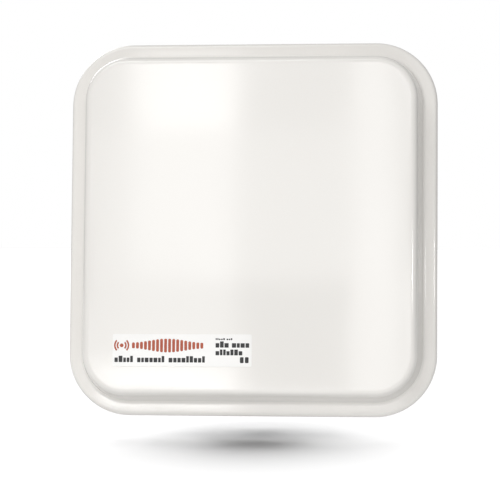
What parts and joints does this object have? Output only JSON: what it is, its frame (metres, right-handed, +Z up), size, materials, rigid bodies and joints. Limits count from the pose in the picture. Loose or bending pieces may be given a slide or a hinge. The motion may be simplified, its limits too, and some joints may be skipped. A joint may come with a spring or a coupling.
{
  "type": "panel antenna",
  "caption": "Flat square directional panel antenna with a raised white radome, a rear coaxial socket and a tilting toothed bracket that U-bolts to a mast.",
  "frame": {"origin": "on the mast's axis, midway between the two U-bolts, for a 40 mm mast", "axes": "+Z up along the mast, -Y the way the radome faces at zero tilt, +X to the right of a viewer who looks at the radome"},
  "size_m": [0.256, 0.1519, 0.26],
  "materials": {
    "radome_white": "semi-gloss, UV-stable white, faint moulded texture",
    "label_vinyl": null,
    "seal_rubber": "matt black EPDM",
    "nylon": "natural nylon",
    "ptfe": "turned PTFE",
    "vent_plastic": "dark moulded",
    "mill_aluminium": "mill finish sheet",
    "brass": "bright turned brass",
    "nickel": "nickel plated brass",
    "galvanised": "hot-dip galvanised steel with faint spangle",
    "zinc_steel": "bright zinc plated steel"
  },
  "bodies": {
    "mast_clamp_body": {"lock_bolt_left": "zinc_steel", "lock_bolt_right": "zinc_steel", "lock_nut_left": "zinc_steel", "lock_nut_right": "zinc_steel", "mast_bracket": "galvanised", "pivot_bolt_left": "zinc_steel", "pivot_bolt_right": "zinc_steel", "pivot_nut_left": "zinc_steel", "pivot_nut_right": "zinc_steel", "u_bolt_nut_lower_left": "zinc_steel", "u_bolt_nut_lower_right": "zinc_steel", "u_bolt_nut_upper_left": "zinc_steel", "u_bolt_nut_upper_right": "zinc_steel"},
    "panel": {"back_plate": "mill_aluminium", "centre_post": "brass", "centre_screw": "zinc_steel", "cover_screw_1": "zinc_steel", "cover_screw_2": "zinc_steel", "cover_screw_3": "zinc_steel", "cover_screw_4": "zinc_steel", "cover_screw_5": "zinc_steel", "cover_screw_6": "zinc_steel", "cover_screw_7": "zinc_steel", "cover_screw_8": "zinc_steel", "feed_probe": "brass", "feed_strip": "brass", "front_label": "label_vinyl", "patch_standoff_1": "nylon", "patch_standoff_2": "nylon", "patch_standoff_3": "nylon", "patch_standoff_4": "nylon", "perimeter_seal": "seal_rubber", "radiating_patch": "mill_aluminium", "radome": "radome_white", "socket_body": "nickel", "socket_contact": "brass", "socket_insulator": "ptfe", "socket_screw_1": "zinc_steel", "socket_screw_2": "zinc_steel", "socket_screw_3": "zinc_steel", "socket_screw_4": "zinc_steel", "socket_seal": "seal_rubber", "stud_1": "zinc_steel", "stud_2": "zinc_steel", "stud_3": "zinc_steel", "stud_4": "zinc_steel", "stud_nut_1": "zinc_steel", "stud_nut_2": "zinc_steel", "stud_nut_3": "zinc_steel", "stud_nut_4": "zinc_steel", "tilt_bracket": "galvanised", "vent_plug": "vent_plastic"},
    "u_bolt_upper": {"u_bolt_upper": "zinc_steel"},
    "u_bolt_lower": {"u_bolt_lower": "zinc_steel"}
  },
  "joints": [
    {"name": "tilt", "type": "hinge", "parent": "mast_clamp_body", "child": "panel", "pos_m": [0, -0.055, -0.025], "axis": [1, 0, 0], "range_deg": [-15, 30]},
    {"name": "u_bolt_upper_slide", "type": "slide", "parent": "mast_clamp_body", "child": "u_bolt_upper", "axis": [0, 1, 0], "range_m": [-0.012, 0.012]},
    {"name": "u_bolt_lower_slide", "type": "slide", "parent": "mast_clamp_body", "child": "u_bolt_lower", "axis": [0, 1, 0], "range_m": [-0.012, 0.012]}
  ]
}
